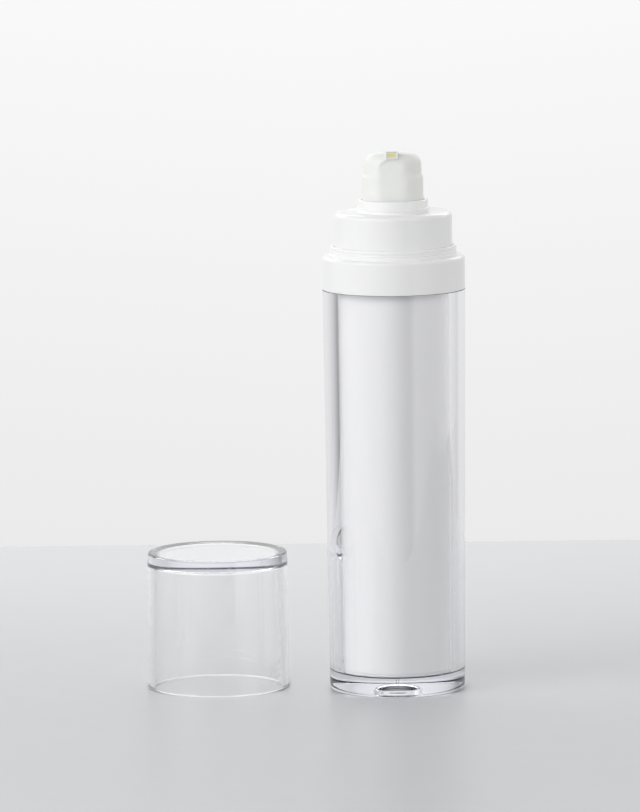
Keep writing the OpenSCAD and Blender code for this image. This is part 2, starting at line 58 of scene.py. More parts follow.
CAMERA_DOWN = math.radians(7.53)
CAMERA_ROLL = math.radians(-0.65)

lens = bpy.data.cameras.new("camera")
lens.lens = 286.6
lens.sensor_width = 36
lens.clip_start = 0.1
lens.clip_end = 50
camera = bpy.data.objects.new("camera", lens)
camera.matrix_world = (
    Matrix.Translation(CAMERA_AT)
    @ Matrix.Rotation(math.pi / 2 - CAMERA_DOWN, 4, "X")
    @ Matrix.Rotation(CAMERA_ROLL, 4, "Z")
)
bpy.context.scene.collection.objects.link(camera)
bpy.context.scene.camera = camera
bpy.context.scene.view_settings.view_transform = "Standard"


# White inner bottle: it holds the product and hangs in the clear one by its flange.
# Injection-moulded white polypropylene from a polished tool, so its wall is smooth and glossy.
INNER_FOOT_R = 15.0
INNER_TOP_R = 15.52
INNER_BORE_R = 14.15
INNER_FOOT_Z = 6.1
NECK_R = 14.2
NECK_BORE_R = 12.9
NECK_TOP_Z = 130.6
SNAP_BEAD_OUT = 0.4
SNAP_BEAD_RUN = 0.4
SNAP_BEAD_FOOT_Z = 128.0
SNAP_BEAD_TOP_Z = 128.9
FLANGE_R = 18.2
RIM_TOP_Z = 117.0
ROOF_TOP_Z = 118.2
ROUND_STEPS = 192
# Points nearer than this, in metres, are one point
SAME_PLACE = 1e-7


def drawn(name, points):
    """A chain of points, drawn one after the other; it stays in edit mode"""
    bpy.ops.object.select_all(action="DESELECT")
    bpy.ops.mesh.primitive_plane_add(size=MM, location=(0, 0, 0))
    piece = bpy.context.object
    piece.name = piece.data.name = name
    bpy.ops.object.mode_set(mode="EDIT")
    bpy.ops.mesh.select_all(action="SELECT")
    bpy.ops.mesh.merge(type="CENTER")
    bpy.ops.transform.translate(value=[part * MM for part in points[0]])
    for before, after in zip(points, points[1:]):
        step = [(b - a) * MM for a, b in zip(before, after)]
        bpy.ops.mesh.extrude_vertices_move(TRANSFORM_OT_translate={"value": step})
    return piece


def spun(name, outline, steps=ROUND_STEPS, middle=(0, 0)):
    """A round piece. Its half section is drawn point by point as (radius, height, rounding of the
    corner), the corners are rounded and the section is spun about the axis through middle."""
    piece = drawn(name, [(radius, 0, height) for radius, height, _ in outline])
    if outline[0][0] > 0 or outline[-1][0] > 0:
        ends = bmesh.from_edit_mesh(piece.data).verts
        ends.ensure_lookup_table()
        ends[0].select = ends[len(ends) - 1].select = True
        bpy.ops.mesh.edge_face_add()
    for radius, height, rounding in outline:
        if rounding:
            corner = Vector((radius * MM, 0, height * MM))
            for vert in bmesh.from_edit_mesh(piece.data).verts:
                vert.select = (vert.co - corner).length < SAME_PLACE
            bmesh.from_edit_mesh(piece.data).select_flush_mode()
            bpy.ops.mesh.bevel(
                offset=rounding * MM, segments=max(3, round(rounding * 6)), affect="VERTICES",
                clamp_overlap=False)
    bpy.ops.mesh.select_all(action="SELECT")
    bpy.ops.mesh.spin(steps=steps, angle=2 * math.pi, center=(0, 0, 0), axis=(0, 0, 1))
    bpy.ops.mesh.select_all(action="SELECT")
    bpy.ops.mesh.remove_doubles(threshold=SAME_PLACE)
    bpy.ops.mesh.normals_make_consistent(inside=False)
    bpy.ops.transform.translate(value=(middle[0] * MM, middle[1] * MM, 0))
    bpy.ops.object.mode_set(mode="OBJECT")
    smooth(piece)
    return piece


def smooth(piece, angle=35):
    """Shades a piece smooth up to an angle, with its large faces kept true"""
    bpy.ops.object.select_all(action="DESELECT")
    piece.select_set(True)
    bpy.context.view_layer.objects.active = piece
    bpy.ops.object.shade_smooth_by_angle(angle=math.radians(angle))
    weighted = piece.modifiers.new("true faces", "WEIGHTED_NORMAL")
    weighted.keep_sharp = True
    bpy.ops.object.modifier_apply(modifier=weighted.name)


def colour(hex_code):
    """An sRGB hex colour as Blender's linear colour"""
    channels = [int(hex_code[i:i + 2], 16) / 255 for i in (1, 3, 5)]
    linear = [c / 12.92 if c <= 0.04045 else ((c + 0.055) / 1.055) ** 2.4 for c in channels]
    return (*linear, 1)


def add_node(tree, kind, inputs=None, **settings):
    """Adds a node with its own settings, and sets or links its inputs"""
    made = tree.nodes.new(kind)
    for key, value in settings.items():
        setattr(made, key, value)
    for socket, value in (inputs or {}).items():
        if isinstance(value, bpy.types.NodeSocket):
            tree.links.new(value, made.inputs[socket])
        else:
            made.inputs[socket].default_value = value
    return made


def dressed(piece, material):
    """Gives a piece one material in all its slots"""
    piece.data.materials.clear()
    piece.data.materials.append(material)


def moulded(name, base, roughness, ior=1.5, flow=0.01, grain=0.0, depth=0.0, **fixed):
    """A moulded plastic: its colour drifts a little where the melt flowed (over about 12 mm), its
    gloss drifts with it, and a satin tool leaves a fine grain."""
    material = bpy.data.materials.new(name)
    material.use_nodes = True
    tree = material.node_tree
    shader = tree.nodes["Principled BSDF"]
    place = add_node(tree, "ShaderNodeTexCoord").outputs["Object"]
    melt = add_node(tree, "ShaderNodeTexNoise", {
        "Vector": place, "Scale": 80, "Detail": 2, "Roughness": 0.4})
    tint = add_node(tree, "ShaderNodeMix", {
        "Factor": melt.outputs["Fac"],
        6: colour(base),
        7: tuple(channel * (1 - flow) for channel in colour(base)[:3]) + (1,),
    }, data_type="RGBA")
    tree.links.new(tint.outputs[2], shader.inputs["Base Color"])
    gloss = add_node(tree, "ShaderNodeMapRange", {
        "Value": melt.outputs["Fac"],
        "To Min": roughness * 0.95,
        "To Max": roughness * 1.05,
    })
    tree.links.new(gloss.outputs["Result"], shader.inputs["Roughness"])
    if grain:
        fine = add_node(tree, "ShaderNodeTexNoise", {
            "Vector": place, "Scale": 1 / (grain * MM), "Detail": 3})
        bump = add_node(tree, "ShaderNodeBump", {
            "Height": fine.outputs["Fac"], "Strength": 0.5, "Distance": depth * MM})
        tree.links.new(bump.outputs["Normal"], shader.inputs["Normal"])
    shader.inputs["IOR"].default_value = ior
    for socket, value in fixed.items():
        shader.inputs[socket.replace("_", " ")].default_value = value
    return material


gloss_polypropylene = moulded("moulded_gloss_polypropylene", "#EFEFF0", 0.22)
inner_bottle = spun("inner_bottle_shell", [
    (INNER_FOOT_R, INNER_FOOT_Z, 0.2), (INNER_TOP_R, RIM_TOP_Z, 0), (FLANGE_R, RIM_TOP_Z, 0.2),
    (FLANGE_R, ROOF_TOP_Z, 0.2), (NECK_R, ROOF_TOP_Z, 0.3), (NECK_R, SNAP_BEAD_FOOT_Z - SNAP_BEAD_RUN, 0),
    (NECK_R + SNAP_BEAD_OUT, SNAP_BEAD_FOOT_Z, 0.15), (NECK_R + SNAP_BEAD_OUT, SNAP_BEAD_TOP_Z, 0.15),
    (NECK_R, SNAP_BEAD_TOP_Z + SNAP_BEAD_RUN, 0), (NECK_R, NECK_TOP_Z, 0.3),
    (NECK_BORE_R, NECK_TOP_Z, 0.2), (NECK_BORE_R, RIM_TOP_Z, 0.3),
    (INNER_BORE_R, RIM_TOP_Z, 0), (INNER_BORE_R, INNER_FOOT_Z, 0.2)])
dressed(inner_bottle, gloss_polypropylene)
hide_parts("inner_bottle")
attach(inner_bottle, "bottle")


# Base plug: a vented disc pressed into the open foot of the inner bottle, seen through the clear
# floor. Moulded in the same white polypropylene; air enters by its four holes as the follower rises.
PLUG_FOOT_Z = 5.1
PLUG_TOP_Z = 9.1
PLUG_RING_R = 14.1
PLUG_RING_WALL = 1.2
VENT_CIRCLE_R = 10.8
VENT_R = 0.9
VENTS = 4
TOOL_PAST = 1


def cut(piece, tool, operation="DIFFERENCE"):
    """Cuts a piece with a tool, or joins them, and takes the tool away"""
    bpy.ops.object.select_all(action="DESELECT")
    piece.select_set(True)
    bpy.context.view_layer.objects.active = piece
    boolean = piece.modifiers.new("cut", "BOOLEAN")
    boolean.operation = operation
    boolean.solver = "MANIFOLD"
    boolean.object = tool
    bpy.ops.object.modifier_apply(modifier=boolean.name)
    bpy.data.objects.remove(tool)


base_plug = spun("base_plug_disc", [
    (0, PLUG_FOOT_Z, 0), (INNER_FOOT_R, PLUG_FOOT_Z, 0.6), (INNER_FOOT_R, INNER_FOOT_Z, 0),
    (PLUG_RING_R, INNER_FOOT_Z, 0), (PLUG_RING_R, PLUG_TOP_Z, 0.3),
    (PLUG_RING_R - PLUG_RING_WALL, PLUG_TOP_Z, 0.3), (PLUG_RING_R - PLUG_RING_WALL, INNER_FOOT_Z, 0.2),
    (0, INNER_FOOT_Z, 0)])
for vent in range(VENTS):
    turn = 2 * math.pi * vent / VENTS
    hole = spun("vent_hole", [
        (0, PLUG_FOOT_Z - TOOL_PAST, 0), (VENT_R, PLUG_FOOT_Z - TOOL_PAST, 0),
        (VENT_R, INNER_FOOT_Z + TOOL_PAST, 0), (0, INNER_FOOT_Z + TOOL_PAST, 0)],
        steps=32, middle=(VENT_CIRCLE_R * math.cos(turn), VENT_CIRCLE_R * math.sin(turn)))
    cut(base_plug, hole)
smooth(base_plug)
dressed(base_plug, gloss_polypropylene)
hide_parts("base_plug")
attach(base_plug, "bottle")


# Follower: the white piston that atmospheric pressure pushes up behind the product.
# Natural polyethylene with two wiping lips, so it has a waxy, satin surface.
satin_polyethylene = moulded(
    "moulded_satin_polyethylene", "#ECEBE6", 0.42, ior=1.51, grain=0.15, depth=0.01)
dressed(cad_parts["follower_piston"], satin_polyethylene)


# Clear outer bottle: a thick jacket that lets the white bottle seem to float in it.
# Injection-moulded acrylic (PMMA) from a polished tool: fully clear, index 1.49, with sharp
# reflections and a faint long waviness where the melt shrank.
BOTTLE_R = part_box("outer_bottle")[1].x / MM
FOOT_R = BOTTLE_R - 0.94
CAVITY_R = 15.8
CAVITY_FOOT_R = 15.28
FLOOR_T = 5.0
RECESS_R = 4.8
RECESS_DEPTH = 2.0
VENT_HOLE_R = 0.3
FOOT_EDGE_W = 0.6
FOOT_EDGE_H = 2.0
RIM_R = 18.4
WALL_TOP_Z = 113.0
ARC_STEPS = 16
CLEAR_STEPS = 256


def moulded_acrylic(name, waviness):
    """Clear acrylic, faintly lilac where it is thick. Its polished wall waves by a few micrometres
    over about 6 mm, along the melt's way up."""
    material = bpy.data.materials.new(name)
    material.use_nodes = True
    tree = material.node_tree
    shader = tree.nodes["Principled BSDF"]
    shader.inputs["Base Color"].default_value = colour("#FEFEFE")
    shader.inputs["Transmission Weight"].default_value = 1
    shader.inputs["IOR"].default_value = 1.49
    depth = add_node(tree, "ShaderNodeVolumeAbsorption", {"Color": (0.1, 0.1, 0.55, 1), "Density": 4})
    tree.links.new(depth.outputs["Volume"], tree.nodes["Material Output"].inputs["Volume"])
    place = add_node(tree, "ShaderNodeTexCoord").outputs["Object"]
    along_melt = add_node(tree, "ShaderNodeMapping", {"Vector": place, "Scale": (160, 160, 8)})
    wave = add_node(tree, "ShaderNodeTexNoise", {
        "Vector": along_melt.outputs["Vector"], "Scale": 1, "Detail": 1})
    bump = add_node(tree, "ShaderNodeBump", {
        "Height": wave.outputs["Fac"], "Strength": 1, "Distance": waviness * MM})
    tree.links.new(bump.outputs["Normal"], shader.inputs["Normal"])
    polish = add_node(tree, "ShaderNodeMapRange", {
        "Value": wave.outputs["Fac"], "To Min": 0.0, "To Max": 0.012})
    tree.links.new(polish.outputs["Result"], shader.inputs["Roughness"])
    return material


# Light that has passed the wall must stay sharp to reach the white bottle behind it, and it is
# thrown back many times inside the floor.
bpy.context.scene.cycles.blur_glossy = 0
bpy.context.scene.cycles.glossy_bounces = 12

clear_acrylic = moulded_acrylic("moulded_clear_acrylic", 0.004)
outer_bottle = spun("outer_bottle_jacket", [
    *[(RECESS_R * math.cos(t), RECESS_DEPTH * math.sin(t), 0)
      for t in (math.acos(VENT_HOLE_R / RECESS_R) * i / ARC_STEPS for i in range(ARC_STEPS, -1, -1))],
    *[(FOOT_R - FOOT_EDGE_W * (1 - math.sin(t)), FOOT_EDGE_H * (1 - math.cos(t)), 0)
      for t in (math.pi / 2 * i / ARC_STEPS for i in range(ARC_STEPS + 1))],
    (BOTTLE_R, WALL_TOP_Z, 0.1), (RIM_R, WALL_TOP_Z, 0), (RIM_R, RIM_TOP_Z, 0.4),
    (CAVITY_R, RIM_TOP_Z, 0.1), (CAVITY_FOOT_R, FLOOR_T, 0.6), (VENT_HOLE_R, FLOOR_T, 0)],
    steps=CLEAR_STEPS)
dressed(outer_bottle, clear_acrylic)
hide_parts("outer_bottle")
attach(outer_bottle, "bottle")


# Shoulder ring: grips the clear rim from outside; its beaded band holds the cap by friction.
# Glossy white ABS, moulded in one with the three fine beads.
SHOULDER_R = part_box("shoulder_ring")[1].x / MM
SHOULDER_TOP_Z = 122.5
SHOULDER_BORE_R = 18.45
FIT = 0.05
BAND_R = 17.62
BAND_TOP_Z = 125.3
BAND_BORE_R = 16.57
BEADS = 3
BEAD_PITCH = 0.778
FIRST_BEAD = 0.6
BEAD_OUT = 0.17
BEAD_HALF_H = 0.22

gloss_abs = moulded("moulded_gloss_abs", "#EFEFEF", 0.29, ior=1.53)
beads = []
for bead in range(BEADS):
    bead_z = SHOULDER_TOP_Z + BEAD_PITCH * (bead + FIRST_BEAD)
    beads += [(BAND_R, bead_z - BEAD_HALF_H, 0), (BAND_R + BEAD_OUT, bead_z, 0.15),
              (BAND_R, bead_z + BEAD_HALF_H, 0)]
shoulder_ring = spun("shoulder_ring_moulding", [
    (SHOULDER_BORE_R, WALL_TOP_Z + FIT, 0), (SHOULDER_R, WALL_TOP_Z + FIT, 0.2),
    (SHOULDER_R, SHOULDER_TOP_Z, 1), (BAND_R, SHOULDER_TOP_Z, 0.1), *beads, (BAND_R, BAND_TOP_Z, 0.25),
    (BAND_BORE_R, BAND_TOP_Z, 0.2), (BAND_BORE_R, ROOF_TOP_Z + FIT, 0.2),
    (SHOULDER_BORE_R, ROOF_TOP_Z + FIT, 0)])
dressed(shoulder_ring, gloss_abs)
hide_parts("shoulder_ring")
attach(shoulder_ring, "bottle")


# Pump engine: chamber, cage, stem, valve and chamber cap, all hidden in the closure.
# Moulded in polypropylene and polyethylene with a satin finish, so they keep the frame's own shapes.
for part in ("pump_chamber", "ball_cage", "chamber_cap", "pump_stem", "stem_valve"):
    dressed(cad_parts[part], satin_polyethylene)


# Pump piston: wipes the chamber with a thin lip at each end and lags behind the stem, which opens
# the stem's ports. Moulded in natural polyethylene, soft enough for its lips to seal; a web joins
# them to its sleeve.
PISTON_FOOT_Z = 121.82
PISTON_TOP_Z = 126.28
PISTON_BORE_R = 2.38
PISTON_SLEEVE_R = 2.98
LIP_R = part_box("stem_piston")[1].x / MM
LIP_FOOT_Z = 122.0
LIP_T = 0.4
LIP_L = 0.9
LIP_RUN = 0.3
WAIST_R = LIP_R - 0.2
WAIST_WALL = 0.5
WEB_FOOT_Z = 123.4
WEB_TOP_Z = 124.7

piston = spun("pump_piston_moulding", [
    (PISTON_BORE_R, PISTON_FOOT_Z, 0.05), (PISTON_SLEEVE_R, PISTON_FOOT_Z, 0.1),
    (PISTON_SLEEVE_R, WEB_FOOT_Z, 0.2), (WAIST_R - WAIST_WALL, WEB_FOOT_Z, 0.2),
    (LIP_R - LIP_T, LIP_FOOT_Z, 0.05), (LIP_R, LIP_FOOT_Z, 0.1), (LIP_R, LIP_FOOT_Z + LIP_L, 0.2),
    (WAIST_R, LIP_FOOT_Z + LIP_L + LIP_RUN, 0.2), (WAIST_R, PISTON_TOP_Z - LIP_L - LIP_RUN, 0.2),
    (LIP_R, PISTON_TOP_Z - LIP_L, 0.2), (LIP_R, PISTON_TOP_Z, 0.1), (LIP_R - LIP_T, PISTON_TOP_Z, 0.05),
    (WAIST_R - WAIST_WALL, WEB_TOP_Z, 0.2), (PISTON_SLEEVE_R, WEB_TOP_Z, 0.2),
    (PISTON_SLEEVE_R, PISTON_TOP_Z, 0.1), (PISTON_BORE_R, PISTON_TOP_Z, 0.05)], steps=96)
dressed(piston, satin_polyethylene)
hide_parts("stem_piston")
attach(piston, "seal")


# Neck gasket: die-cut foamed polyethylene between neck and chamber flange.
# Soft and matt, with open cells of about 0.3 mm at its cut edge.
foamed_polyethylene = moulded("die_cut_foamed_polyethylene", "#C9C9CC", 0.8, grain=0.3, depth=0.05)
dressed(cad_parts["neck_gasket"], foamed_polyethylene)


# Inlet ball: closes the chamber's inlet while the head is pressed, and lifts to let the product in.
# Bearing steel, ground and lapped to a mirror.
def steel(name, roughness, lines):
    """Bright steel whose polish lines are `lines` mm apart"""
    material = bpy.data.materials.new(name)
    material.use_nodes = True
    tree = material.node_tree
    shader = tree.nodes["Principled BSDF"]
    shader.inputs["Base Color"].default_value = colour("#B9BBBE")
    shader.inputs["Metallic"].default_value = 1
    place = add_node(tree, "ShaderNodeTexCoord").outputs["Object"]
    scratch = add_node(tree, "ShaderNodeTexNoise", {
        "Vector": place, "Scale": 1 / (lines * MM), "Detail": 2})
    polish = add_node(tree, "ShaderNodeMapRange", {
        "Value": scratch.outputs["Fac"], "To Min": roughness * 0.8, "To Max": roughness * 1.2})
    tree.links.new(polish.outputs["Result"], shader.inputs["Roughness"])
    return material


dressed(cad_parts["inlet_ball"], steel("lapped_bearing_steel", 0.12, 0.5))


# Return spring: stands on the ball's cage and lifts stem and head again after each stroke.
# Drawn stainless wire, coiled cold; its end coils are closed and ground flat.
WIRE_R = 0.29
COIL_R = 3.5
COIL_STEPS = 24
END_PITCH = 0.62
OPEN_TURNS = 4.5

spring_low_z, spring_high_z = (corner.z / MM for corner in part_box("return_spring"))
open_rise = spring_high_z - spring_low_z - WIRE_R - 2 * END_PITCH
coil = [(COIL_R, 0, spring_low_z + WIRE_R / 2)]
for turns, rise in ((1, END_PITCH), (OPEN_TURNS, open_rise), (1, END_PITCH)):
    steps = round(turns * COIL_STEPS)
    for _ in range(steps):
        angle = 2 * math.pi * len(coil) / COIL_STEPS
        coil.append((COIL_R * math.cos(angle), COIL_R * math.sin(angle), coil[-1][2] + rise / steps))
drawn("return_spring_coil", coil)
bpy.ops.object.mode_set(mode="OBJECT")
bpy.ops.object.convert(target="CURVE")
spring = bpy.context.object
spring.data.bevel_depth = WIRE_R * MM
spring.data.bevel_resolution = 3
spring.data.use_fill_caps = True
bpy.ops.object.convert(target="MESH")
spring = bpy.context.object
bpy.ops.object.mode_set(mode="EDIT")
bpy.ops.mesh.select_all(action="SELECT")
bpy.ops.mesh.remove_doubles(threshold=SAME_PLACE)
bpy.ops.mesh.normals_make_consistent(inside=False)
for ground_z, outward in ((spring_low_z, -1), (spring_high_z, 1)):
    bpy.ops.mesh.select_all(action="SELECT")
    bpy.ops.mesh.bisect(
        plane_co=(0, 0, ground_z * MM), plane_no=(0, 0, outward), use_fill=True, clear_outer=True,
        threshold=SAME_PLACE)
bpy.ops.object.mode_set(mode="OBJECT")
smooth(spring)
dressed(spring, steel("drawn_stainless_wire", 0.28, 0.1))
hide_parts("return_spring")
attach(spring, "bottle")
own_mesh(spring)


# Pump closure: snaps over the neck's bead and holds the pump down on its gasket.
# Glossy white ABS with a broad rounding round its top.
CLOSURE_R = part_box("pump_closure")[1].x / MM
CLOSURE_TOP_Z = 134.7
CLOSURE_UNDER_Z = 133.1
CLOSURE_FOOT_Z = 118.35
CLOSURE_BORE_R = 14.3
LEAD_IN = 0.5
GROOVE_R = 14.65
GROOVE_FOOT_Z = 127.9
GROOVE_TOP_Z = 129.1
GROOVE_RISE = 0.3
GROOVE_FALL = 0.5
SPIGOT_R = 9.5

closure = spun("pump_closure_moulding", [
    (CLOSURE_BORE_R + LEAD_IN, CLOSURE_FOOT_Z, 0.1), (CLOSURE_R, CLOSURE_FOOT_Z, 0.2),
    (CLOSURE_R, CLOSURE_TOP_Z, 1.3), (SPIGOT_R + FIT, CLOSURE_TOP_Z, 0.15),
    (SPIGOT_R + FIT, CLOSURE_UNDER_Z, 0), (CLOSURE_BORE_R, CLOSURE_UNDER_Z, 0.2),
    (CLOSURE_BORE_R, GROOVE_TOP_Z + GROOVE_RISE, 0), (GROOVE_R, GROOVE_TOP_Z, 0),
    (GROOVE_R, GROOVE_FOOT_Z, 0), (CLOSURE_BORE_R, GROOVE_FOOT_Z - GROOVE_FALL, 0),
    (CLOSURE_BORE_R, CLOSURE_FOOT_Z + LEAD_IN, 0)])
dressed(closure, gloss_abs)
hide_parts("pump_closure")
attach(closure, "bottle")


# Guide ring: pressed into the closure, it guides the head's skirt and hides the gap round it.
# Glossy white ABS with one fine rib and a rounded top that catches the light.
RING_R = 9.85
RING_BORE_R = 8.85
RING_TOP_Z = 138.2
RING_FOOT_OUT = 0.1
RIB_OUT = 0.3
RIB_H = 0.4
RIB_RUN = 0.1
RIB_FOOT_Z = 135.5

guide_ring = spun("guide_ring_moulding", [
    (RING_BORE_R, CLOSURE_UNDER_Z, 0.1), (SPIGOT_R, CLOSURE_UNDER_Z, 0.1), (SPIGOT_R, CLOSURE_TOP_Z, 0),
    (RING_R + RING_FOOT_OUT, CLOSURE_TOP_Z, 0), (RING_R + RING_FOOT_OUT, RIB_FOOT_Z - RIB_RUN, 0),
    (RING_R + RIB_OUT, RIB_FOOT_Z, 0.1), (RING_R + RIB_OUT, RIB_FOOT_Z + RIB_H, 0.1),
    (RING_R, RIB_FOOT_Z + RIB_H + RIB_RUN, 0), (RING_R, RING_TOP_Z, 0.4),
    (RING_BORE_R, RING_TOP_Z, 0.3)])
dressed(guide_ring, gloss_abs)
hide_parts("guide_ring")
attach(guide_ring, "bottle")


# Pump head: pressed by a finger on its tilted dome, with a scoop cut in its front under the nozzle.
# Satin white polypropylene, slightly warm, from a lightly textured tool, so its edges are soft.
HEAD_R = 8.6
HEAD_UPPER_R = 8.1
HEAD_TAPER = 0.03
HEAD_UPPER_TAPER = 0.05
HEAD_BORE_R = 6.4
HEAD_ROOF_T = 3
SKIRT_Z = 135.2
HEAD_TOP_Z = 151.55
HEAD_STEP_Z = 144.8
HEAD_STEP_FALL = 0.1
HEAD_STEP_RISE = 0.3
HEAD_ROUND = 3.3
HEAD_ROUND_STEPS = 12
HEAD_DOME = 0.35
HEAD_DOME_STEPS = 6
HEAD_CORNER_Z = HEAD_TOP_Z - HEAD_DOME - HEAD_ROUND
HEAD_TILT = math.radians(5)
NOZZLE_TURN = math.radians(2.4)
NOZZLE_W = 3.3
NOZZLE_H = 2.2
NOZZLE_BACK = 4
NOZZLE_FACE = 8.0
NOZZLE_WALL = 0.3
NOZZLE_Z = HEAD_TOP_Z - NOZZLE_H / 2
POCKET_DEPTH = 3
SCOOP_R = 4.05
SCOOP_DEPTH = 1.05
SCOOP_DROP = 1.7
SCOOP_TILT = math.radians(4.7)
SCOOP_L = 30
STEM_R = 3.0
STEM_TOP_Z = 143.3
SOCKET_Z = 137.8
SOCKET_WALL = 1.1
SOFTNESS = 0.18

nozzle_way = Matrix.Rotation(-NOZZLE_TURN, 4, "Z")
head_tilted = (
    nozzle_way
    @ Matrix.Translation((0, 0, HEAD_CORNER_Z * MM))
    @ Matrix.Rotation(-HEAD_TILT, 4, "X")
    @ Matrix.Translation((0, 0, -HEAD_CORNER_Z * MM))
)


def block(name, width, height, near, far, rounding):
    """A block of rounded section at the nozzle's height and tilt, which reaches forwards from
    `near` to `far`"""
    bpy.ops.object.select_all(action="DESELECT")
    bpy.ops.mesh.primitive_cube_add(size=1, location=(0, -(near + far) / 2 * MM, NOZZLE_Z * MM))
    made = bpy.context.object
    made.name = made.data.name = name
    made.scale = (width * MM, (far - near) * MM, height * MM)
    bpy.ops.object.transform_apply(location=True, rotation=False, scale=True)
    bpy.ops.object.mode_set(mode="EDIT")
    for edge in bmesh.from_edit_mesh(made.data).edges:
        along = edge.verts[0].co - edge.verts[1].co
        edge.select = abs(along.y) > 0.9 * along.length
    bmesh.from_edit_mesh(made.data).select_flush_mode()
    bpy.ops.mesh.bevel(offset=rounding * MM, segments=6, affect="EDGES")
    bpy.ops.object.mode_set(mode="OBJECT")
    made.data.transform(head_tilted)
    return made


def soften(piece, voxel, passes, front_passes, front_half_w, front_top_z):
    """Rounds a piece's edges as its tool does, by a fine remesh that is then smoothed, its front
    far more than the rest"""
    bpy.ops.object.select_all(action="DESELECT")
    piece.select_set(True)
    bpy.context.view_layer.objects.active = piece
    remesh = piece.modifiers.new("fine skin", "REMESH")
    remesh.mode = "VOXEL"
    remesh.voxel_size = voxel * MM
    bpy.ops.object.modifier_apply(modifier=remesh.name)
    front = piece.vertex_groups.new(name="front")
    for vert in piece.data.vertices:
        inside = min(front_half_w - abs(vert.co.x) / MM, front_top_z - vert.co.z / MM)
        if vert.co.y < 0 and inside > 0:
            front.add([vert.index], min(1, inside / 2), "REPLACE")
    for group, times in (("", passes), (front.name, front_passes)):
        relax = piece.modifiers.new("soft edges", "SMOOTH")
        relax.factor = 0.5
        relax.iterations = times
        relax.vertex_group = group
        bpy.ops.object.modifier_apply(modifier=relax.name)


head = spun("pump_head_moulding", [
    (0, SKIRT_Z, 0), (HEAD_R, SKIRT_Z, 0.2), (HEAD_R - HEAD_TAPER, HEAD_STEP_Z - HEAD_STEP_FALL, 0),
    (HEAD_UPPER_R, HEAD_STEP_Z + HEAD_STEP_RISE, 0),
    (HEAD_UPPER_R - HEAD_UPPER_TAPER, HEAD_CORNER_Z + TOOL_PAST, 0),
    (HEAD_UPPER_R - HEAD_UPPER_TAPER, HEAD_TOP_Z + 2 * TOOL_PAST, 0), (0, HEAD_TOP_Z + 2 * TOOL_PAST, 0)])
crown_r = HEAD_UPPER_R - HEAD_UPPER_TAPER - HEAD_ROUND
crown_out_r = HEAD_R + 3
crown_foot_z = HEAD_CORNER_Z - 20
crown = spun("crown", [
    (0, crown_foot_z, 0), (crown_out_r, crown_foot_z, 0), (crown_out_r, HEAD_CORNER_Z - 1.5, 0),
    *[(crown_r + HEAD_ROUND * math.cos(a), HEAD_CORNER_Z + HEAD_ROUND * math.sin(a), 0)
      for a in (math.pi / 2 * i / HEAD_ROUND_STEPS for i in range(HEAD_ROUND_STEPS + 1))],
    *[(crown_r * (1 - t), HEAD_CORNER_Z + HEAD_ROUND + HEAD_DOME * (1 - (1 - t) ** 2), 0)
      for t in (i / HEAD_DOME_STEPS for i in range(1, HEAD_DOME_STEPS + 1))]])
crown.data.transform(head_tilted)
cut(head, crown, "INTERSECT")

bpy.ops.object.select_all(action="DESELECT")
bpy.ops.mesh.primitive_circle_add(vertices=96, radius=SCOOP_R * MM, fill_type="NGON")
scoop = bpy.context.object
bpy.ops.object.mode_set(mode="EDIT")
for vert in bmesh.from_edit_mesh(scoop.data).verts:
    vert.select = vert.co.y < -1e-6
bmesh.from_edit_mesh(scoop.data).select_flush_mode()
bpy.ops.transform.translate(value=(0, -SCOOP_L * MM, 0))
bpy.ops.mesh.select_all(action="SELECT")
bpy.ops.mesh.extrude_region_move(TRANSFORM_OT_translate={"value": (0, 0, HEAD_R * MM)})
bpy.ops.mesh.select_all(action="SELECT")
bpy.ops.mesh.normals_make_consistent(inside=False)
bpy.ops.object.mode_set(mode="OBJECT")
scoop.data.transform(
    nozzle_way
    @ Matrix.Translation((0, (SCOOP_DEPTH - HEAD_UPPER_R) * MM, (HEAD_TOP_Z - SCOOP_DROP) * MM))
    @ Matrix.Rotation(math.pi / 2 - SCOOP_TILT, 4, "X")
    @ Matrix.Translation((0, -SCOOP_R * MM, 0)))
cut(head, scoop)
soften(
    head, voxel=SOFTNESS, passes=30, front_passes=240,
    front_half_w=SCOOP_R + 2.5, front_top_z=HEAD_STEP_Z + 3)

hollow = spun("hollow", [
    (STEM_R + SOCKET_WALL, HEAD_TOP_Z - HEAD_ROOF_T, 0), (HEAD_BORE_R, HEAD_TOP_Z - HEAD_ROOF_T, 0.6),
    (HEAD_BORE_R, SKIRT_Z - TOOL_PAST, 0), (0, SKIRT_Z - TOOL_PAST, 0), (0, SOCKET_Z, 0),
    (STEM_R + SOCKET_WALL, SOCKET_Z, 0)])
cut(head, hollow)
stem_socket = spun("stem_socket", [
    (0, SOCKET_Z - TOOL_PAST, 0), (STEM_R + FIT, SOCKET_Z - TOOL_PAST, 0),
    (STEM_R + FIT, STEM_TOP_Z, 0), (0, STEM_TOP_Z, 0)])
cut(head, stem_socket)
cut(head, block("nozzle_block", NOZZLE_W, NOZZLE_H, NOZZLE_BACK, NOZZLE_FACE, rounding=0.4), "UNION")
cut(head, block(
    "pocket", NOZZLE_W - 2 * NOZZLE_WALL, NOZZLE_H - 2 * NOZZLE_WALL,
    NOZZLE_FACE - POCKET_DEPTH, NOZZLE_FACE + POCKET_DEPTH, rounding=0.15))
smooth(head)

satin_polypropylene = moulded(
    "moulded_satin_polypropylene", "#EAEBE8", 0.45, ior=1.49, grain=0.25, depth=0.012,
    Subsurface_Weight=0.15, Subsurface_Scale=0.001)
dressed(head, satin_polypropylene)
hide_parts("actuator")
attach(head, "pump_head")


# Outlet insert: a short rectangular sleeve in the nozzle, whose two lips close after each stroke.
# Natural pale yellow polyethylene, soft, waxy and slightly see-through.
INSERT_L = 2.8
INSERT_BACK = 0.2
INSERT_WALL = 0.4
INSERT_PLAY = 0.04
INSERT_LIP_T = 0.6
SLIT_H = 0.08
SLIT_PAST = 0.1

